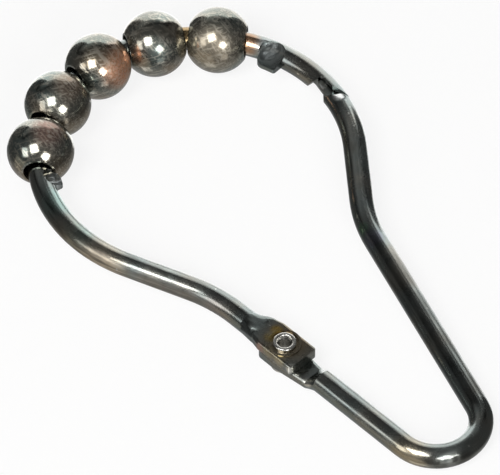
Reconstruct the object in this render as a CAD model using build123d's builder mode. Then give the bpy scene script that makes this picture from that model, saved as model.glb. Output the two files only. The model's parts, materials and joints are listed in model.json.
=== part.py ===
from build123d import *
from math import atan, cos, degrees, radians, sin, sqrt
import os

# Shower curtain hook: two steel wires riveted into a pear-shaped ring, with five hollow roller balls.
# Lengths are in millimetres and angles in degrees.
# The ring's own plane has its origin at the centre of the bottom bend, y towards the balls.
# The finished hook lies on the floor, with the axis of the curtain rod through the origin.

# Wire and the outline of its centreline, the same on both sides
wire_diameter = 3.0
bend_radius = 5.5
leg_angle = 10.0
leg_length = 28.5
neck_radius = 20.0
flare_angle = 30.0
bulb_radius = 19.85

# Roller balls, counted from the left end of the row
ball_count = 5
ball_diameter = 8.5
ball_wall = 0.6
ball_clearance = 0.45
ball_lip = 0.25
ball_gap = 0.08
ball_play = 2.02

# Pivot: two flattened pads and the hollow rivet through them
pad_thickness = 1.55
pad_gap = 0.06
pad_corner = 0.4
gate_pad_width = 4.6
gate_pad_tail = 3.25
gate_pad_neck = 2.4
gate_pad_corner = 0.5
gate_root_width = 4.1
gate_root_clearance = 0.2
gate_ramp = 2.9
gate_straight = 1.85
hook_pad_width = 4.2
hook_pad_tip = 3.3
hook_pad_neck = 5.0
hook_tip_flat = 1.0
hook_neck_width = 3.3
hook_neck_flat = 0.15
hook_ramp = 1.4
rivet_shank = 2.1
rivet_wall = 0.3
rivet_flare = 0.25
rivet_flare_depth = 0.55
rivet_rim_reach = 0.4
rivet_rim_height = 0.38
rivet_head_reach = 0.75
rivet_head_thickness = 0.45
rivet_clearance = 0.05
collar_gap = 0.325
collar_width = 0.3
collar_height = 0.14

# Ears pinched out of the gate wire between two dies with round crowns, which keep the balls in their row
right_ear_length = 3.35
right_ear_reach = 2.95
right_ear_crown = 0.8
right_ear_to_latch = 5.28
left_ear_length = 2.45
left_ear_reach = 2.4
left_ear_crown = 0.0
ear_clearance = 0.15
ear_back = 2.05
ear_edge = 0.6
ear_ball_corner = 1.2
ear_end_corner = 0.3
die_margin = 0.1

# Latch: the gate's tongue lies outside the hook's blade, and the blade's barb sits in the tongue's channel
# Lengths along the wire are measured from the shoulder where the tongue starts
latch_shoulder_turn = 84.2
latch_clearance = 0.14
shoulder_slant = 0.9
tongue_length = 4.7
tongue_taper = 1.6
tongue_point = 0.35
blade_end_gap = 0.4
blade_end_reach = 0.2
blade_step = 2.1
blade_step_reach = 0.7
blade_root = 3.55
blade_thickness = 1.3
scoop_foot = 4.65
scoop_length = 0.95
scoop_bulge = 0.2
barb_length = 2.0
barb_height = 0.75
barb_thickness = 1.0

wire_radius = wire_diameter / 2
neck_turn = flare_angle - leg_angle
shoulder_turn = degrees(shoulder_slant / bulb_radius)
blade_end_turn = latch_shoulder_turn - shoulder_turn + degrees(blade_end_gap / bulb_radius)
tongue_end_turn = latch_shoulder_turn + degrees(tongue_length / bulb_radius)

# Each ball's flats are its mouths, and neighbours touch at their mouths' inner edges
ball_radius = ball_diameter / 2
ball_bore = wire_diameter + 2 * ball_clearance
ball_mouth = ball_bore + 2 * ball_lip
ball_half = sqrt(ball_radius**2 - (ball_mouth / 2) ** 2)
ball_drop = ball_half**2 / (4 * bulb_radius)
ball_centre_radius = bulb_radius - ball_drop
half_pitch = degrees(atan((ball_half + ball_gap / 2) / (ball_centre_radius - ball_mouth / 2)))

# Turns of the ears and balls, counted back from the latch
right_ear_turn = latch_shoulder_turn - degrees((right_ear_to_latch + right_ear_length) / bulb_radius)
last_ball_turn = right_ear_turn - degrees(ball_play / bulb_radius) - half_pitch
ball_turns = [last_ball_turn - 2 * half_pitch * i for i in reversed(range(ball_count))]
left_ear_turn = ball_turns[0] - half_pitch - degrees(ear_clearance / bulb_radius)

# Pads and rivet
pad_middle = (pad_gap + pad_thickness) / 2
gate_root = hook_pad_tip + gate_root_clearance
pivot_distance = leg_length - gate_root - gate_ramp - gate_straight
rivet_bore = rivet_shank - 2 * rivet_wall
rivet_mouth = rivet_bore + 2 * rivet_flare
rivet_rim = rivet_shank + 2 * rivet_rim_reach
rivet_head = rivet_shank + 2 * rivet_head_reach
collar_bore = rivet_rim + 2 * collar_gap

# Corners of the right half's centreline, which give the flare's length and the bulb's centre
alpha = radians(leg_angle)
beta = radians(flare_angle)
leg_top_x = bend_radius * cos(alpha) + leg_length * sin(alpha)
leg_top_y = -bend_radius * sin(alpha) + leg_length * cos(alpha)
flare_foot_x = leg_top_x + neck_radius * (cos(alpha) - cos(beta))
flare_foot_y = leg_top_y + neck_radius * (sin(beta) - sin(alpha))
flare_length = (bulb_radius * cos(beta) - flare_foot_x) / sin(beta)
bulb_centre = (0, flare_foot_y + flare_length * cos(beta) + bulb_radius * sin(beta))


def polar(turn, radius):
    """Point at a turn clockwise from the top of the bulb and a distance from its centre."""
    return (radius * sin(radians(turn)), bulb_centre[1] + radius * cos(radians(turn)))


# The ring rests on its two end balls and on the bend, so its plane leans a little
left_foot = Vector(*polar(ball_turns[0], ball_centre_radius), -ball_radius)
right_foot = Vector(*polar(ball_turns[-1], ball_centre_radius), -ball_radius)
bend_foot = Vector(0, -bend_radius, -wire_radius)
floor_up = (left_foot - bend_foot).cross(bend_foot - right_foot).normalized()
drop_to_floor = (bend_foot - Vector(*bulb_centre, 0)).dot(floor_up) / floor_up.Z
floor = Plane(origin=(*bulb_centre, drop_to_floor), x_dir=(1, 0, 0), z_dir=floor_up)
ring = Plane(floor.location.inverse())


def level(x, y, height=0.0, turn=0.0):
    """Plane parallel to the ring, at a height above it and turned about its normal."""
    return Plane(ring.location * Location((x, y, height), (0, 0, turn)))


def across(line, share):
    """Plane square to the wire at a share of a line, with its x along the ring's normal."""
    return Plane(origin=line @ share, x_dir=ring.z_dir, z_dir=line % share)


def left_leg(distance):
    """Point of the left leg's centreline at a distance up from the bend."""
    x = -bend_radius * cos(alpha) - distance * sin(alpha)
    y = -bend_radius * sin(alpha) + distance * cos(alpha)
    return (x, y)


def latch_point(distance, reach):
    """Point at a distance along the wire past the latch's shoulder and a reach outwards from its middle."""
    return polar(latch_shoulder_turn + degrees(distance / bulb_radius), bulb_radius + reach)


def sector(start, end, inner, outer):
    """Face between two turns and two radii about the bulb's centre."""
    with BuildLine() as outline:
        CenterArc(bulb_centre, inner, 90 - end, end - start)
        CenterArc(bulb_centre, outer, 90 - end, end - start)
        Line(polar(start, inner), polar(start, outer))
        Line(polar(end, inner), polar(end, outer))
    make_face(outline.edges())


def polygon(*corners):
    """Face with straight sides between corners."""
    with BuildLine() as outline:
        Polyline(*corners, close=True)
    make_face(outline.edges())


def latch_side(reach):
    """Plane facing inwards at the latch's shoulder and a reach outwards, with its x along the wire."""
    seat = level(*polar(latch_shoulder_turn, bulb_radius + reach), turn=-latch_shoulder_turn)
    return Plane(origin=seat.origin, x_dir=seat.x_dir, z_dir=-seat.y_dir)


def leg_plane(distance, height):
    """Plane square to the left leg at a distance from the pivot and a height above the ring's plane."""
    foot = ring.from_local_coords((*left_leg(pivot_distance + distance), height))
    return Plane(origin=foot, x_dir=ring.z_dir, z_dir=level(0, 0, turn=leg_angle).y_dir)


def pad_section(side, distance, width, corner=pad_corner, share=0.0):
    """Cross-section of a pad on one side of the ring, blended towards the round wire by a share."""
    with BuildSketch(leg_plane(distance, side * pad_middle * (1 - share))) as section:
        RectangleRounded(
            pad_thickness + share * (wire_diameter - pad_thickness),
            width + share * (wire_diameter - width),
            corner + share * (wire_radius - corner),
        )
    return section.sketch


def wire_section(distance):
    """Cross-section of the round wire at a distance from the pivot."""
    with BuildSketch(leg_plane(distance, 0)) as section:
        Circle(wire_radius)
    return section.sketch


def pivot_pad(side, start, end, width, corner):
    """Flat pad on one side of the ring between two distances from the pivot, rounded at its free end."""
    extrude(pad_section(side, start, width), amount=end - start)
    with BuildSketch(level(*left_leg(pivot_distance), turn=leg_angle)) as outline:
        with Locations((0, (start + end) / 2)):
            Rectangle(width, end - start)
        corners = outline.vertices().sort_by(Axis.Y)
        fillet(corners[-2:] if side < 0 else corners[:2], corner)
    extrude(outline.sketch, amount=wire_diameter, both=True, mode=Mode.INTERSECT)


def pinch_ear(near, length, reach, crown):
    """Ear from its ball's side away along the gate wire, wedged between two tilted dies."""
    away = 1 if near > 0 else -1
    far = near + away * degrees(length / bulb_radius)
    with BuildSketch(ring) as outline:
        sector(min(near, far), max(near, far), bulb_radius - reach, bulb_radius)
        for turn, radius in ((near, ear_ball_corner), (far, ear_end_corner)):
            corner = (*polar(turn, bulb_radius - reach), 0)
            fillet(outline.vertices().sort_by_distance(corner)[0], radius)
    extrude(outline.sketch, amount=ear_back / 2, both=True)
    crown_radius = length / 2 + die_margin
    die_tilt = degrees(atan((ear_back - ear_edge) / 2 / reach))
    middle = (near + far) / 2
    for side in (1, -1):
        seat = level(*polar(middle, bulb_radius), height=side * ear_back / 2, turn=-middle)
        with BuildSketch(Plane(seat.location * Location((0, 0, 0), (side * die_tilt, 0, 0)))) as die:
            with Locations((0, crown - crown_radius)):
                Circle(crown_radius)
                Rectangle(2 * crown_radius, 2 * reach, align=(Align.CENTER, Align.MAX))
        extrude(die.sketch, amount=side * wire_diameter, mode=Mode.SUBTRACT)


# Hook wire: pad, left leg, bend, long right leg and the blade of the latch
with BuildPart() as hook_wire:
    pivot_pad(-1, 0, hook_pad_tip, hook_pad_width, (hook_pad_width - hook_tip_flat) / 2)
    hook_neck = pad_section(-1, -hook_pad_neck, hook_neck_width, (pad_thickness - hook_neck_flat) / 2)
    loft([pad_section(-1, 0, hook_pad_width), hook_neck])
    loft([hook_neck, wire_section(-hook_pad_neck - hook_ramp)])
    with BuildLine(ring) as hook_line:
        low_leg = Line(left_leg(pivot_distance - hook_pad_neck - hook_ramp), left_leg(0))
        bend = JernArc(low_leg @ 1, low_leg % 1, bend_radius, 180 - 2 * leg_angle)
        long_leg = Line(bend @ 1, (bend @ 1) + (bend % 1) * leg_length)
        neck = JernArc(long_leg @ 1, long_leg % 1, neck_radius, -neck_turn)
        flare = Line(neck @ 1, (neck @ 1) + (neck % 1) * flare_length)
        JernArc(flare @ 1, flare % 1, bulb_radius, 90 + flare_angle - blade_end_turn)
    with BuildSketch(across(low_leg, 0)):
        Circle(wire_radius)
    sweep(path=hook_line.line)
    # The outer half is pressed away up to a rounded shoulder, and the inner side up to a sloping step
    blade_face = -latch_clearance / 2
    with BuildSketch(ring):
        with BuildLine() as outer:
            foot = latch_point(scoop_foot, blade_face)
            crest = latch_point(scoop_foot + scoop_length, wire_radius)
            brow = latch_point(scoop_foot + scoop_bulge, (blade_face + wire_radius) / 2)
            ThreePointArc(foot, brow, crest)
            Polyline(
                crest,
                latch_point(scoop_foot + scoop_length, wire_diameter),
                latch_point(-shoulder_slant, wire_diameter),
                latch_point(-shoulder_slant, blade_face),
            )
            CenterArc(
                bulb_centre,
                bulb_radius + blade_face,
                90 - latch_shoulder_turn + shoulder_turn,
                -degrees((scoop_foot + shoulder_slant) / bulb_radius),
            )
        make_face(outer.edges())
        polygon(
            latch_point(blade_root, -wire_radius),
            latch_point(blade_step, -blade_step_reach),
            latch_point(-shoulder_slant, -blade_end_reach),
            latch_point(-shoulder_slant, -wire_diameter),
            latch_point(blade_root, -wire_diameter),
        )
    extrude(amount=wire_diameter, both=True, mode=Mode.SUBTRACT)
    for side in (1, -1):
        with BuildSketch(level(0, 0, height=side * blade_thickness / 2)):
            polygon(
                latch_point(blade_root, -wire_radius),
                latch_point(scoop_foot, -blade_end_reach),
                latch_point(scoop_foot, wire_radius),
                latch_point(-shoulder_slant, wire_radius),
                latch_point(-shoulder_slant, -wire_radius),
            )
        extrude(amount=side * wire_radius, mode=Mode.SUBTRACT)
    barb_turn = degrees(barb_length / bulb_radius)
    barb_foot = bulb_radius - blade_end_reach
    barb_tip = bulb_radius + barb_height
    with BuildSketch(ring):
        sector(blade_end_turn, blade_end_turn + barb_turn, barb_foot, barb_tip)
    extrude(amount=barb_thickness / 2, both=True)
    # The blade's end slants like the gate's shoulder that it faces
    with BuildSketch(latch_side(wire_radius)):
        polygon(
            (blade_end_gap - shoulder_slant, -wire_radius),
            (blade_end_gap + shoulder_slant, wire_radius),
            (-wire_diameter, wire_radius),
            (-wire_diameter, -wire_radius),
        )
    extrude(amount=wire_diameter, mode=Mode.SUBTRACT)
    with BuildSketch(level(*left_leg(pivot_distance))):
        Circle(rivet_shank / 2)
    extrude(amount=wire_diameter, both=True, mode=Mode.SUBTRACT)

# Gate wire: pad, left neck, the arm through the balls, two ears and the tongue of the latch
with BuildPart() as gate_wire:
    pivot_pad(1, -gate_pad_tail, gate_pad_neck, gate_pad_width, gate_pad_corner)
    loft([pad_section(1, gate_pad_neck, gate_pad_width), pad_section(1, gate_root, gate_root_width)])
    ramp_sections = [
        pad_section(1, gate_root + share * gate_ramp, gate_root_width, share=share**2 * (3 - 2 * share))
        for share in (0, 1 / 3, 2 / 3)
    ]
    loft(ramp_sections + [wire_section(gate_root + gate_ramp)])
    with BuildLine(ring) as gate_line:
        high_leg = Line(left_leg(pivot_distance + gate_root + gate_ramp), left_leg(leg_length))
        neck = JernArc(high_leg @ 1, high_leg % 1, neck_radius, neck_turn)
        flare = Line(neck @ 1, (neck @ 1) + (neck % 1) * flare_length)
        JernArc(flare @ 1, flare % 1, bulb_radius, -(90 + flare_angle + tongue_end_turn))
    with BuildSketch(across(high_leg, 0)):
        Circle(wire_radius)
    sweep(path=gate_line.line)
    pinch_ear(left_ear_turn, left_ear_length, left_ear_reach, left_ear_crown)
    pinch_ear(right_ear_turn, right_ear_length, right_ear_reach, right_ear_crown)
    # The inner half of the end is pressed away behind a slanted shoulder, and the tongue tapers to a point
    tongue_face = latch_clearance / 2
    tongue_inside = bulb_radius - wire_diameter
    with BuildSketch(ring):
        sector(latch_shoulder_turn + shoulder_turn, tongue_end_turn, tongue_inside, bulb_radius + tongue_face)
        polygon(
            latch_point(tongue_length - tongue_taper, tongue_face),
            latch_point(tongue_length, wire_radius - tongue_point),
            latch_point(tongue_length, 0),
        )
    extrude(amount=wire_diameter, both=True, mode=Mode.SUBTRACT)
    with BuildSketch(latch_side(tongue_face)):
        polygon(
            (-shoulder_slant, -wire_radius),
            (shoulder_slant, wire_radius),
            (shoulder_slant, -wire_radius),
        )
    extrude(amount=wire_diameter, mode=Mode.SUBTRACT)
    channel_face = bulb_radius + barb_height + latch_clearance
    with BuildSketch(ring):
        sector(latch_shoulder_turn, tongue_end_turn, bulb_radius, channel_face)
    extrude(amount=barb_thickness / 2 + latch_clearance, both=True, mode=Mode.SUBTRACT)
    # A low collar stands round the rivet
    pad_top = pad_gap / 2 + pad_thickness
    with BuildSketch(level(*left_leg(pivot_distance), height=pad_middle)):
        Circle(collar_bore / 2 + collar_width)
        Circle(collar_bore / 2, mode=Mode.SUBTRACT)
    extrude(amount=pad_thickness / 2 + collar_height)
    with BuildSketch(level(*left_leg(pivot_distance))):
        Circle(rivet_shank / 2 + rivet_clearance)
    extrude(amount=wire_diameter, mode=Mode.SUBTRACT)

# Hollow rivet: a wide head under the hook's pad and a rolled rim with a flared mouth over the gate's pad
with BuildPart() as rivet:
    pivot_point = ring.from_local_coords((*left_leg(pivot_distance), 0))
    head_top = -pad_gap / 2 - pad_thickness
    head_bottom = head_top - rivet_head_thickness
    rim_bottom = pad_top + rivet_clearance
    rim_top = rim_bottom + rivet_rim_height
    with BuildSketch(Plane(origin=pivot_point, x_dir=ring.x_dir, z_dir=-ring.y_dir)) as profile:
        polygon(
            (rivet_bore / 2, head_bottom),
            (rivet_head / 2, head_bottom),
            (rivet_head / 2, head_top),
            (rivet_shank / 2, head_top),
            (rivet_shank / 2, rim_bottom),
            (rivet_rim / 2, rim_bottom),
            (rivet_rim / 2, rim_top),
            (rivet_mouth / 2, rim_top),
            (rivet_bore / 2, rim_top - rivet_flare_depth),
        )
        fillet(profile.vertices().sort_by(Axis.Y)[-2:], (rivet_rim - rivet_mouth) / 5)
    revolve(profile.sketch, axis=Axis(pivot_point, ring.z_dir))

pieces = {"hook_wire": hook_wire, "gate_wire": gate_wire, "rivet": rivet}

# Roller balls: thin steel shells with turned-in mouths, each centred on its own stretch of the curved wire
for number, turn in enumerate(ball_turns, start=1):
    centre = ring.from_local_coords((*polar(turn, ball_centre_radius), 0))
    ball_plane = Plane(origin=centre, x_dir=level(0, 0, turn=-turn).x_dir, z_dir=ring.z_dir)
    with BuildPart() as ball:
        with BuildSketch(ball_plane):
            Circle(ball_radius)
            Circle(ball_radius - ball_wall, mode=Mode.SUBTRACT)
            Rectangle(2 * ball_half, ball_diameter, mode=Mode.INTERSECT)
            Rectangle(2 * ball_half, ball_bore, mode=Mode.SUBTRACT)
            with Locations((0, -ball_radius / 2)):
                Rectangle(2 * ball_half, ball_radius, mode=Mode.SUBTRACT)
        revolve(axis=Axis(centre, ball_plane.x_dir))
    pieces[f"roller_ball_{number}"] = ball

os.makedirs("parts", exist_ok=True)
for name, piece in pieces.items():
    piece.part.label = name
    export_step(piece.part, f"parts/{name}.step")
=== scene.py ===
import json
from math import cos, pi, radians, sin, tan

import bmesh
import bpy
from mathutils import Matrix, Vector

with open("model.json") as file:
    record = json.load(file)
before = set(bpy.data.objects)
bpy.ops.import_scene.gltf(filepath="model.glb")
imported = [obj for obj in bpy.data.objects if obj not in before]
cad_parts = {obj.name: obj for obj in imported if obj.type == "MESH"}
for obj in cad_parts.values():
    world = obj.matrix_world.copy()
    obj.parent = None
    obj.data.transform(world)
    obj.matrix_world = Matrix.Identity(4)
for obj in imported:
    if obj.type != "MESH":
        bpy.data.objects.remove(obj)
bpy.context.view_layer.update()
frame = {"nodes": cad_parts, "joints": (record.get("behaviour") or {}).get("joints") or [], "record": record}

MM = 0.001

# The ring's own axes: across towards the latch, along towards the balls, and up out of its plane
JOINTS = {joint["name"]: joint for joint in frame["joints"]}
MOUNTS = {mount["name"]: mount for mount in frame["record"]["mounts"]}
EYELET_RADIUS = 4.0 * MM
ring_up = Vector(JOINTS["gate_pivot"]["axis"]).normalized()
ring_along = Vector(MOUNTS["eyelet_seat"]["axis"]).normalized()
ring_across = ring_along.cross(ring_up)
ring_origin = Vector(MOUNTS["eyelet_seat"]["pos_m"]) + ring_along * EYELET_RADIUS


def ring_point(across, along, up):
    """Point in the row's frame from a place in the ring's plane, in metres."""
    return ring_origin + ring_across * across + ring_along * along + ring_up * up


# Camera: a long lens above the hook, from the bend's side and to its left
VIEW_YAW = radians(34.11)
VIEW_RISE = radians(49.77)
VIEW_ROLL = radians(0.257)
VIEW_DISTANCE = 0.643336
LENS = 385.19
AIM_RIGHT = -22.192 * MM
AIM_UP = 22.058 * MM
CLIP_START = 10 * MM

view_right = ring_across * cos(VIEW_YAW) - ring_along * sin(VIEW_YAW)
level_forward = ring_across * sin(VIEW_YAW) + ring_along * cos(VIEW_YAW)
view_up = level_forward * sin(VIEW_RISE) + ring_up * cos(VIEW_RISE)
view_forward = level_forward * cos(VIEW_RISE) - ring_up * sin(VIEW_RISE)


def add_camera():
    """Camera at the photograph's angle, with its slight roll."""
    camera = bpy.data.objects.new("camera", bpy.data.cameras.new("camera"))
    bpy.context.scene.collection.objects.link(camera)
    camera.data.lens = LENS
    camera.data.clip_start = CLIP_START
    right = view_right * cos(VIEW_ROLL) - view_up * sin(VIEW_ROLL)
    up = view_right * sin(VIEW_ROLL) + view_up * cos(VIEW_ROLL)
    turn = Matrix((right, up, -view_forward)).transposed().to_4x4()
    aim = ring_origin + view_right * AIM_RIGHT + view_up * AIM_UP
    camera.matrix_world = Matrix.Translation(aim - view_forward * VIEW_DISTANCE) @ turn
    bpy.context.scene.camera = camera


# Colours and node trees

# A map range that eases between its ends
EASED = {"interpolation_type": "SMOOTHSTEP"}

# Numbers of the sockets of a colour mix, because other sockets of the node have the same names
MIX_SHARE = 0
MIX_FIRST = 6
MIX_SECOND = 7
MIX_RESULT = 2


def hex_colour(code):
    """Linear colour with alpha from an sRGB hex code."""
    parts = [int(code[i:i + 2], 16) / 255 for i in (1, 3, 5)]
    return tuple(c / 12.92 if c <= 0.04045 else ((c + 0.055) / 1.055) ** 2.4 for c in parts) + (1.0,)


def node(tree, kind, inputs=(), **settings):
    """Adds a node with its settings, and gives its inputs values or links, by name or in their order."""
    made = tree.nodes.new(kind)
    for key, value in settings.items():
        setattr(made, key, value)
    pairs = inputs.items() if isinstance(inputs, dict) else enumerate(inputs)
    for key, value in pairs:
        if isinstance(value, bpy.types.NodeSocket):
            tree.links.new(value, made.inputs[key])
        else:
            made.inputs[key].default_value = value
    return made


def new_material(name):
    """Empty node material with its node tree."""
    material = bpy.data.materials.new(name)
    material.use_nodes = True
    material.node_tree.nodes.clear()
    return material, material.node_tree


def per_metre(size):
    """Scale of a pattern whose marks have a size in millimetres."""
    return 1 / (size * MM)


def clouded(tree, place, size, stops):
    """Tint that drifts through colours in clouds of a size in millimetres."""
    cloud = node(tree, "ShaderNodeTexNoise", {"Vector": place, "Scale": per_metre(size), "Detail": 2.0})
    made = node(tree, "ShaderNodeValToRGB", {"Fac": cloud.outputs["Fac"]})
    elements = made.color_ramp.elements
    for stop, code in stops[1:-1]:
        elements.new(stop).color = hex_colour(code)
    for element, (stop, code) in ((elements[0], stops[0]), (elements[-1], stops[-1])):
        element.position = stop
        element.color = hex_colour(code)
    return made.outputs["Color"]


def scratches(tree, place, turn, width, length):
    """Thin lines of a width and a length in millimetres, laid in a direction by three angles."""
    turned = node(tree, "ShaderNodeMapping", {
        "Vector": place,
        "Rotation": turn,
        "Scale": (width * MM, width * MM, length * MM),
    }, vector_type="TEXTURE").outputs["Vector"]
    lines = node(tree, "ShaderNodeTexNoise", {
        "Vector": turned,
        "Scale": 1.0,
        "Detail": 0.0,
        "Distortion": 1.0,
    })
    return lines.outputs["Fac"]


def marked(tree, tint, pattern, low, high, share_low, share_high, colour):
    """Tint whose share of a colour changes as a pattern rises from a low to a high value."""
    share = node(tree, "ShaderNodeMapRange", (pattern, low, high, share_low, share_high), **EASED)
    mix = node(tree, "ShaderNodeMix", {
        MIX_SHARE: share.outputs["Result"],
        MIX_FIRST: tint,
        MIX_SECOND: hex_colour(colour),
    }, data_type="RGBA")
    return mix.outputs[MIX_RESULT]


def spot(tree, place, across, along, up, reach, share):
    """Share that fades out around a place, in the ring's millimetres."""
    centre = ring_point(across * MM, along * MM, up * MM)
    gap = node(tree, "ShaderNodeVectorMath", (place, centre), operation="DISTANCE").outputs["Value"]
    fade_start = SPOT_CORE * reach * MM
    fade = node(tree, "ShaderNodeMapRange", (gap, fade_start, reach * MM, share, 0.0), **EASED)
    return fade.outputs["Result"]


def strongest(tree, place, spots):
    """Share of the strongest of several spots."""
    share = 0.0
    for where in spots:
        other = spot(tree, place, *where)
        share = node(tree, "ShaderNodeMath", (share, other), operation="MAXIMUM").outputs["Value"]
    return share


def stains_and_painted_light(tree, place, tint, stains):
    """Tint with soft local spots, each a place, a reach, a share and a colour, which are stains, painted
    highlights, painted reflection and painted shade, as the list gives them.
    """
    for *where, colour in stains:
        tint = node(tree, "ShaderNodeMix", {
            MIX_SHARE: spot(tree, place, *where),
            MIX_FIRST: tint,
            MIX_SECOND: hex_colour(colour),
        }, data_type="RGBA").outputs[MIX_RESULT]
    return tint


# Sizes of the marks in the plating, in millimetres
WIRE_CLOUD = 5.5556
WIRE_HAZE = 2.38095
WIRE_CHIP = 0.666667
WIRE_DENT = 2.08333
BALL_CLOUD = 5.0
BALL_HAZE = 4.34783
RIVET_CLOUD = 1.11111

# Draw lines and worn streaks are this long, and 21 times finer across the wire. Real ones are finer than a
# pixel, so they are drawn as coarse as they need to show
DRAW_LINE = 4.16667
WORN_STREAK = 5.88235
FINER_ACROSS = 21.0

# Depths of the marks, in metres
DRAW_LINE_DEPTH = 0.02 * MM
DENT_DEPTH = 1.2 * MM
SCRATCH_DEPTH = 0.03 * MM

# Roughness of the plating where it is glossy and where it is brushed or worn to satin, and how much more the
# wire blurs what it mirrors across its grooves than along them, in a direction that leans a little
WIRE_GLOSS = 0.17
WIRE_SATIN = 0.42
BALL_GLOSS = 0.14
BALL_SATIN = 0.54
RIVET_ROUGH = 0.27
WIRE_BLUR = 0.8
BLUR_LEAN = 0.1

# Part of a spot's reach at which it starts to fade
SPOT_CORE = 0.3

# Where the plating is stained, and where pale patches are painted highlights and a painted reflection:
# places in the ring's millimetres, with a reach, a share and a colour
WIRE_STAINS_AND_PAINTED_LIGHT = (
    (15.3, 62.5, 1.2, 2.2, 0.9, "#C49A78"),
    (9.6, 68.3, 1.5, 2.6, 0.9, "#A98E62"),
    (-8.4, 19.0, 1.9, 4.6, 0.8, "#86765C"),
    (-8.6, 21.2, 1.6, 1.1, 0.8, "#BFA04E"),
    (-9.8, 20.8, 1.6, 1.1, 0.7, "#AA9450"),
    (-11.8, 20.6, 0.8, 1.2, 0.6, "#C49A88"),
    (-11.3, 19.2, 1.2, 1.2, 0.6, "#B8AC8C"),
    (-10.9, 17.4, 1.2, 1.2, 0.6, "#C4B898"),
    # Near-white patches on the pivot pad's edge and end: painted highlight of their bright edge line
    (-10.3, 15.6, 1.0, 0.9, 1.0, "#F4F2E8"),
    (-9.4, 13.5, 0.0, 0.9, 0.9, "#E8E6DE"),
    # Pale patch on the right ear: a painted glint
    (16.9, 60.2, 1.6, 2.6, 0.5, "#C6CCCC"),
    # Near-white patches on the latch: painted glints
    (19.6, 48.4, 1.5, 1.0, 1.0, "#F4F6F4"),
    (19.4, 51.7, 0.6, 0.8, 1.0, "#F4F6F4"),
    # Pale patch on the left ear: a painted glint
    (-16.8, 57.6, 0.4, 1.8, 0.7, "#D2D8D8"),
    (-19.0, 53.8, 1.4, 3.2, 0.5, "#92B4AE"),
    (-20.4, 47.9, 1.3, 3.2, 0.4, "#92B4AE"),
    (9.6, 29.0, 1.0, 1.2, 0.5, "#7FB08F"),
    (9.6, 26.8, 1.3, 1.8, 0.4, "#8C83A0"),
    # Pale warm tint under the neck: partly worn plating, partly a painted reflection that lightens the
    # wire's underside
    (-22.0, 49.0, -0.8, 5.0, 0.5, "#A8937A"),
    (-20.6, 43.0, -0.6, 5.5, 0.7, "#CDBCA4"),
    # Pale warm stain under the bend
    (-6.4, -2.8, -0.3, 4.0, 0.65, "#B7A88C"),
    # Pale tint under the left leg: partly worn plating, partly a painted reflection that lightens the wire's
    # underside
    (-16.4, 37.1, -0.6, 3.4, 0.6, "#ABA398"),
    (-14.4, 33.4, -0.6, 3.4, 0.6, "#A29C94"),
    (-12.4, 29.0, -0.6, 3.4, 0.6, "#948A84"),
    (-3.5, -5.9, 0.0, 1.2, 0.6, "#55544C"),
    (-0.6, -6.8, 0.0, 1.6, 0.6, "#55544C"),
    # Darker patch on the arm's inner side, between the ear and the latch
    (17.6, 56.8, 0.2, 2.4, 0.5, "#5E6264"),
)
BALL_STAINS = (
    (-0.5, 67.2, 2.3, 4.1, 0.95, "#F0B896"),
    (-14.8, 62.2, 4.1, 3.2, 0.8, "#AC8F82"),
    (-8.6, 67.3, 3.7, 3.2, 0.7, "#A58F7C"),
    (-3.0, 69.0, 4.0, 3.0, 0.5, "#948872"),
    (10.6, 63.8, 2.0, 5.2, 0.8, "#AEA492"),
)
# Painted shade in the rivet's bore: a darker tint where the bore lies in shade, given as a place, a reach, a
# share and a colour
BORE_SHADE = (
    (-8.9, 19.0, 0.5, 1.5, 0.9, "#5A5852"),
)

# Where the metal is brushed matt by pressing, in the same way without a colour
WIRE_BRUSHED = (
    (-9.3, 19.5, 1.6, 7.0, 0.25),
    (-9.5, 14.0, 0.8, 3.0, 0.3),
    (16.9, 60.2, 0.8, 3.2, 0.5),
    (-16.8, 57.6, 0.4, 2.4, 0.8),
    (19.6, 48.4, 1.5, 1.4, 0.9),
    (19.4, 51.7, 0.6, 1.2, 0.9),
    (-2.2, -6.4, 0.0, 3.6, 0.43),
)
BALL_BRUSHED = (
    (-0.5, 67.2, 2.3, 4.1, 0.95),
    (-14.8, 62.2, 4.1, 3.2, 0.7),
    (-8.6, 67.3, 3.7, 3.2, 0.7),
    (-3.0, 69.0, 4.0, 3.0, 0.4),
    (10.6, 64.0, 2.5, 5.5, 0.6),
    (4.5, 66.0, 2.5, 3.5, 0.5),
)

# Where handling has worn the wire matt in long bands, so that the streaks of its drawing show
WIRE_WORN = (
    (-22.0, 49.6, -0.3, 2.6, 0.7),
    (-21.4, 46.0, -0.3, 3.0, 0.95),
    (-20.3, 43.4, -0.3, 3.0, 0.95),
    (-19.4, 40.9, -0.3, 3.0, 0.9),
    (-18.2, 38.6, -0.5, 3.0, 0.85),
    (-16.9, 36.4, -0.6, 3.0, 0.8),
    (-15.6, 34.2, -0.7, 3.0, 0.8),
    (-14.5, 32.0, -0.7, 3.0, 0.75),
    (-13.5, 29.8, -0.7, 3.0, 0.7),
    (7.2, 1.0, 0.9, 3.6, 0.5),
    (8.2, 8.0, 1.0, 4.5, 0.5),
    (9.2, 14.0, 1.0, 4.5, 0.5),
    (10.3, 20.0, 1.0, 4.5, 0.5),
)


def plated_metal(tree, tint, satin_share, satin_rough, gloss_rough, normal, across=None):
    """Plated metal mixed from a satin and a glossy layer, both blurred in one direction if it is given."""
    layers = []
    for rough in (gloss_rough, satin_rough):
        layer = node(tree, "ShaderNodeBsdfPrincipled", {
            "Base Color": tint,
            "Metallic": 1.0,
            "Roughness": rough,
            "Normal": normal,
        })
        if across:
            layer.inputs["Anisotropic"].default_value = WIRE_BLUR
            tree.links.new(across, layer.inputs["Tangent"])
        layers.append(layer.outputs["BSDF"])
    both = node(tree, "ShaderNodeMixShader", (satin_share, *layers))
    node(tree, "ShaderNodeOutputMaterial", {"Surface": both.outputs["Shader"]})


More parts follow.
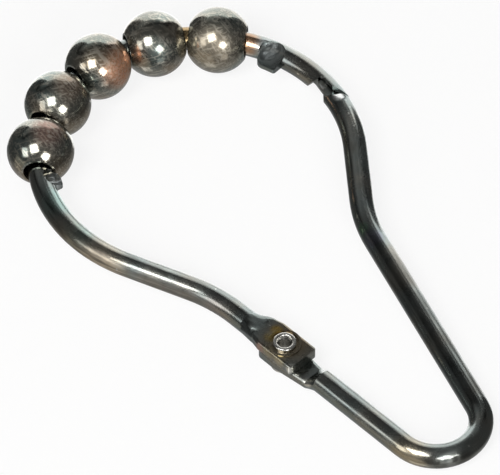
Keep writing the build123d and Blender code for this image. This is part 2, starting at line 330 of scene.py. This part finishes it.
def plated_wire():
    """Black nickel on drawn steel wire, glossy and nearly black, stained and chipped in places, with painted
    glints on the ears, the latch and the pivot pad's edge, and a painted reflection under the neck.
    """
    material, tree = new_material("black_nickel_wire")
    place = node(tree, "ShaderNodeTexCoord").outputs["Object"]
    tint = clouded(tree, place, WIRE_CLOUD, ((0.30, "#838D8C"), (0.50, "#888E8B"), (0.70, "#908F88")))
    # Stains, with painted glints on the ears, the latch and the pad's edge, and a painted reflection under
    # the neck
    tint = stains_and_painted_light(tree, place, tint, WIRE_STAINS_AND_PAINTED_LIGHT)
    chips = node(tree, "ShaderNodeTexNoise", {"Vector": place, "Scale": per_metre(WIRE_CHIP), "Detail": 1.0})
    tint = marked(tree, tint, chips.outputs["Fac"], 0.74, 0.79, 0.0, 0.8, "#D8D8D2")
    # Draw lines run along the wires, which all lie in the ring's plane
    rise = node(tree, "ShaderNodeVectorMath", (place, ring_up), operation="DOT_PRODUCT")
    lift = node(tree, "ShaderNodeVectorMath", {
        0: ring_up,
        "Scale": rise.outputs["Value"],
    }, operation="SCALE").outputs["Vector"]
    stretch = (FINER_ACROSS - 1,) * 3
    drawn = node(tree, "ShaderNodeVectorMath", (lift, stretch, place), operation="MULTIPLY_ADD")
    lines = node(tree, "ShaderNodeTexNoise", {
        "Vector": drawn.outputs["Vector"],
        "Scale": per_metre(DRAW_LINE),
        "Detail": 3.0,
    }).outputs["Fac"]
    tint = marked(tree, tint, lines, 0.55, 0.75, 0.0, 0.35, "#C4C2B8")
    tint = marked(tree, tint, lines, 0.30, 0.45, 0.45, 0.0, "#55554F")
    # Worn bands are matt, with dark streaks where the plating is left
    worn = strongest(tree, place, WIRE_WORN)
    streaks = node(tree, "ShaderNodeTexNoise", {
        "Vector": drawn.outputs["Vector"],
        "Scale": per_metre(WORN_STREAK),
        "Detail": 2.0,
    }).outputs["Fac"]
    dark = node(tree, "ShaderNodeMapRange", (streaks, 0.42, 0.60, 0.75, 0.0), **EASED).outputs["Result"]
    streaked = node(tree, "ShaderNodeMath", (worn, dark), operation="MULTIPLY").outputs["Value"]
    tint = node(tree, "ShaderNodeMix", {
        MIX_SHARE: streaked,
        MIX_FIRST: tint,
        MIX_SECOND: hex_colour("#4E4C46"),
    }, data_type="RGBA").outputs[MIX_RESULT]
    # Pressed places are brushed matt, and the hardest pressed ones are dented
    pressed = strongest(tree, place, WIRE_BRUSHED)
    grooves = node(tree, "ShaderNodeBump", {"Height": lines, "Strength": 0.1, "Distance": DRAW_LINE_DEPTH})
    blows = node(tree, "ShaderNodeTexNoise", {"Vector": place, "Scale": per_metre(WIRE_DENT), "Detail": 1.0})
    hardest = node(tree, "ShaderNodeMapRange", (pressed, 0.35, 0.6, 0.0, 1.0), **EASED)
    dents = node(tree, "ShaderNodeBump", {
        "Height": blows.outputs["Fac"],
        "Strength": hardest.outputs["Result"],
        "Distance": DENT_DEPTH,
        "Normal": grooves.outputs["Normal"],
    })
    haze = node(tree, "ShaderNodeTexNoise", {"Vector": place, "Scale": per_metre(WIRE_HAZE), "Detail": 2.0})
    share = node(tree, "ShaderNodeMapRange", (haze.outputs["Fac"], 0.35, 0.65, 0.06, 0.30), **EASED)
    share = share.outputs["Result"]
    for other in (pressed, worn):
        share = node(tree, "ShaderNodeMath", (share, other), operation="MAXIMUM").outputs["Value"]
    # Drawing leaves grooves along the wire, which blur what it mirrors across them
    across = node(tree, "ShaderNodeCombineXYZ", ring_up + ring_across * BLUR_LEAN).outputs["Vector"]
    plated_metal(tree, tint, share, WIRE_SATIN, WIRE_GLOSS, dents.outputs["Normal"], across)
    return material


def plated_ball():
    """Black nickel on a pressed steel ball, glossy with brushed patches and fine scratches."""
    material, tree = new_material("black_nickel_ball")
    place = node(tree, "ShaderNodeTexCoord").outputs["Object"]
    tint = clouded(tree, place, BALL_CLOUD, ((0.35, "#7E8883"), (0.50, "#8B8A81"), (0.65, "#928878")))
    tint = stains_and_painted_light(tree, place, tint, BALL_STAINS)
    # Polishing scratches in two directions, 0.3 mm wide so that they show
    first = scratches(tree, place, (0.0, 1.2, -0.6), 0.33, 8.0)
    second = scratches(tree, place, (0.3, 2.0, -1.1), 0.28, 6.0)
    lines = node(tree, "ShaderNodeMath", (first, second), operation="MAXIMUM").outputs["Value"]
    tint = marked(tree, tint, lines, 0.58, 0.72, 0.0, 0.5, "#D2CCBE")
    haze = node(tree, "ShaderNodeTexNoise", {"Vector": place, "Scale": per_metre(BALL_HAZE), "Detail": 1.0})
    patch = node(tree, "ShaderNodeMapRange", (haze.outputs["Fac"], 0.42, 0.62, 0.08, 0.34), **EASED)
    brushed = strongest(tree, place, BALL_BRUSHED)
    satin = node(tree, "ShaderNodeMath", (patch.outputs["Result"], brushed), operation="MAXIMUM")
    combed = node(tree, "ShaderNodeMapRange", (lines, 0.45, 0.65, 0.7, 1.3), **EASED)
    shares = (satin.outputs["Value"], combed.outputs["Result"])
    share = node(tree, "ShaderNodeMath", shares, operation="MULTIPLY").outputs["Value"]
    bump = node(tree, "ShaderNodeBump", {"Height": lines, "Strength": 0.25, "Distance": SCRATCH_DEPTH})
    plated_metal(tree, tint, share, BALL_SATIN, BALL_GLOSS, bump.outputs["Normal"])
    return material


def nickel_rivet():
    """Bright nickel on a rolled tubular rivet, pale and glossy, with painted shade darkening its bore."""
    material, tree = new_material("bright_nickel_rivet")
    place = node(tree, "ShaderNodeTexCoord").outputs["Object"]
    tint = clouded(tree, place, RIVET_CLOUD, ((0.3, "#C0BFBA"), (0.7, "#DCDAD4")))
    # Painted shade darkens the bore
    tint = stains_and_painted_light(tree, place, tint, BORE_SHADE)
    metal = node(tree, "ShaderNodeBsdfPrincipled", {
        "Base Color": tint,
        "Metallic": 1.0,
        "Roughness": RIVET_ROUGH,
    })
    node(tree, "ShaderNodeOutputMaterial", {"Surface": metal.outputs["BSDF"]})
    return material


# Stage: white all round to the camera, and soft boxes and cards in a dark room to the metal

FLOOR_SIZE = 6.0
FLOOR_DROP = 0.02 * MM

# Part of the floor's look that is plain white to the camera, beside its own shaded white
FLOOR_WHITE = 0.85

# The soft boxes stand this far from the hook, and are rolled about their own middle
BOX_DISTANCE = 1.0
BOX_ROLL = radians(38)

# Glow of the room in the metal, which rises below the level between two heights of a direction
ROOM_GLOW = 0.09
ROOM_GLOW_BELOW = 0.45
BELOW_FULL = -0.9
BELOW_START = -0.4

# Each box: its turn clockwise from straight behind the hook, rise, width and height in degrees, and its glow
SOFT_BOXES = (
    ("key_box", -144, 52, 26, 27, 9.0),
    ("fill_box", 160, 28, 21, 23, 10.0),
    ("side_box", -119, 24, 20, 26, 2.8),
)

# The metal mirrors a pale sweep behind it and paler patches low in front, between dark sides. Each card is
# given like a box, then its distance, the part of it that fades towards its edges, and its colour
GLOW_CARDS = (
    ("back_sweep", 2, -4, 62, 84, 2.0, 1.0, 0.0, "#FFFFFF"),
    ("back_haze", -14, 40, 96, 40, 0.35, 1.6, 0.9, "#FFFFFF"),
    ("low_left_sweep", -130, -27, 64, 48, 0.5, 1.0, 0.0, "#F8EFE2"),
    ("low_left_card", -149, -55, 22, 20, 1.1, 1.0, 0.0, "#FFFFFF"),
    ("low_right_card", 160, -18, 20, 22, 1.0, 1.0, 0.0, "#FFFFFF"),
)


def facing_hook(azimuth, rise, distance):
    """Place on the stage in a direction from the hook, turned towards it."""
    turn = radians(azimuth)
    lift = radians(rise)
    level = level_forward * cos(turn) + view_right * sin(turn)
    direction = level * cos(lift) + ring_up * sin(lift)
    facing = direction.to_track_quat("Z", "Y").to_matrix().to_4x4()
    return Matrix.Translation(direction * distance) @ facing


def span(angle, distance):
    """Width that fills an angle in degrees at a distance."""
    return 2 * distance * tan(radians(angle) / 2)


def glow_look(name, wide, high, glow, soft, colour):
    """Matt surface that is white to the camera, and in reflections glows and fades towards its edges."""
    material, tree = new_material(name)
    rays = node(tree, "ShaderNodeLightPath").outputs
    matt = node(tree, "ShaderNodeBsdfDiffuse", {"Color": hex_colour("#E4E4E2")}).outputs["BSDF"]
    if soft:
        place = node(tree, "ShaderNodeTexCoord").outputs["Object"]
        sides = node(tree, "ShaderNodeVectorMath", (place,), operation="ABSOLUTE").outputs["Vector"]
        split = node(tree, "ShaderNodeSeparateXYZ", (sides,)).outputs
        core = (1 - soft) / 2
        fade_x = node(tree, "ShaderNodeMapRange", (split["X"], wide * core, wide / 2, glow, 0.0), **EASED)
        fade_y = node(tree, "ShaderNodeMapRange", (split["Y"], high * core, high / 2, 1.0, 0.0), **EASED)
        fades = (fade_x.outputs["Result"], fade_y.outputs["Result"])
        glow = node(tree, "ShaderNodeMath", fades, operation="MULTIPLY").outputs["Value"]
    gloss = node(tree, "ShaderNodeEmission", {"Color": hex_colour(colour), "Strength": glow})
    eye = node(tree, "ShaderNodeEmission", {"Color": hex_colour("#FFFFFF"), "Strength": 1.0})
    looks = (matt, gloss.outputs["Emission"])
    inner = node(tree, "ShaderNodeMixShader", (rays["Is Glossy Ray"], *looks))
    looks = (inner.outputs["Shader"], eye.outputs["Emission"])
    outer = node(tree, "ShaderNodeMixShader", (rays["Is Camera Ray"], *looks))
    node(tree, "ShaderNodeOutputMaterial", {"Surface": outer.outputs["Shader"]})
    return material


def floor_look():
    """Matt pale floor that is nearly white to the camera and keeps a faint shadow of the hook."""
    material, tree = new_material("pale_floor")
    camera_ray = node(tree, "ShaderNodeLightPath").outputs["Is Camera Ray"]
    matt = node(tree, "ShaderNodeBsdfDiffuse", {"Color": hex_colour("#FDFDFC")}).outputs["BSDF"]
    eye = node(tree, "ShaderNodeEmission", {"Color": hex_colour("#FFFFFF"), "Strength": 1.0})
    share = node(tree, "ShaderNodeMath", (camera_ray, FLOOR_WHITE), operation="MULTIPLY")
    mix = node(tree, "ShaderNodeMixShader", (share.outputs["Value"], matt, eye.outputs["Emission"]))
    node(tree, "ShaderNodeOutputMaterial", {"Surface": mix.outputs["Shader"]})
    return material


def card(name, wide, high, placed, look):
    """Flat stage card with a look of its own."""
    mesh = bpy.data.meshes.new(name)
    piece = bpy.data.objects.new(name, mesh)
    bpy.context.scene.collection.objects.link(piece)
    work = bmesh.new()
    bmesh.ops.create_grid(work, x_segments=1, y_segments=1, size=0.5)
    bmesh.ops.scale(work, vec=(wide, high, 1), verts=work.verts)
    work.to_mesh(mesh)
    work.free()
    piece.matrix_world = placed
    mesh.materials.append(look)
    return piece


def glow_card(name, azimuth, rise, width, height, glow, distance, soft, colour):
    """Card that fills an angle across and up, seen only in the metal."""
    wide = span(width, distance)
    high = span(height, distance)
    look = glow_look(name + "_look", wide, high, glow, soft, colour)
    card(name, wide, high, facing_hook(azimuth, rise, distance), look)


def soft_box(name, azimuth, rise, width, height, glow):
    """Rectangular area light of a given glow that fills an angle across and up."""
    light = bpy.data.lights.new(name, "AREA")
    light.shape = "RECTANGLE"
    light.size = span(width, BOX_DISTANCE)
    light.size_y = span(height, BOX_DISTANCE)
    light.energy = glow * pi * light.size * light.size_y
    lamp = bpy.data.objects.new(name, light)
    bpy.context.scene.collection.objects.link(lamp)
    lamp.matrix_world = facing_hook(azimuth, rise, BOX_DISTANCE) @ Matrix.Rotation(BOX_ROLL, 4, "Z")


def add_world():
    """World that is white to the camera, and dim to the metal with a paler ground."""
    world = bpy.data.worlds.new("room")
    bpy.context.scene.world = world
    world.use_nodes = True
    tree = world.node_tree
    tree.nodes.clear()
    white = hex_colour("#FFFFFF")
    camera_ray = node(tree, "ShaderNodeLightPath").outputs["Is Camera Ray"]
    sky = node(tree, "ShaderNodeTexCoord").outputs["Generated"]
    height = node(tree, "ShaderNodeSeparateXYZ", (sky,)).outputs["Z"]
    bounds = (height, BELOW_FULL, BELOW_START, ROOM_GLOW_BELOW, ROOM_GLOW)
    glow = node(tree, "ShaderNodeMapRange", bounds, **EASED)
    dim = node(tree, "ShaderNodeBackground", {"Color": white, "Strength": glow.outputs["Result"]})
    eye = node(tree, "ShaderNodeBackground", {"Color": white, "Strength": 1.0})
    looks = (dim.outputs["Background"], eye.outputs["Background"])
    mix = node(tree, "ShaderNodeMixShader", (camera_ray, *looks))
    node(tree, "ShaderNodeOutputWorld", {"Surface": mix.outputs["Shader"]})


def add_stage():
    """Floor, soft boxes, cards and world."""
    floor = card("floor", FLOOR_SIZE, FLOOR_SIZE, Matrix.Translation((0, 0, -FLOOR_DROP)), floor_look())
    floor.visible_glossy = False
    for box in SOFT_BOXES:
        soft_box(*box)
    for row in GLOW_CARDS:
        glow_card(*row)
    add_world()


def dress(names, material):
    """Gives CAD nodes a finish."""
    for name in names:
        frame["nodes"][name].data.materials.clear()
        frame["nodes"][name].data.materials.append(material)


BALLS = [name for name in sorted(frame["nodes"]) if name.startswith("roller_ball")]

bpy.context.scene.view_settings.view_transform = "Standard"
add_camera()
add_stage()
dress(["hook_wire", "gate_wire"], plated_wire())
dress(BALLS, plated_ball())
dress(["rivet"], nickel_rivet())
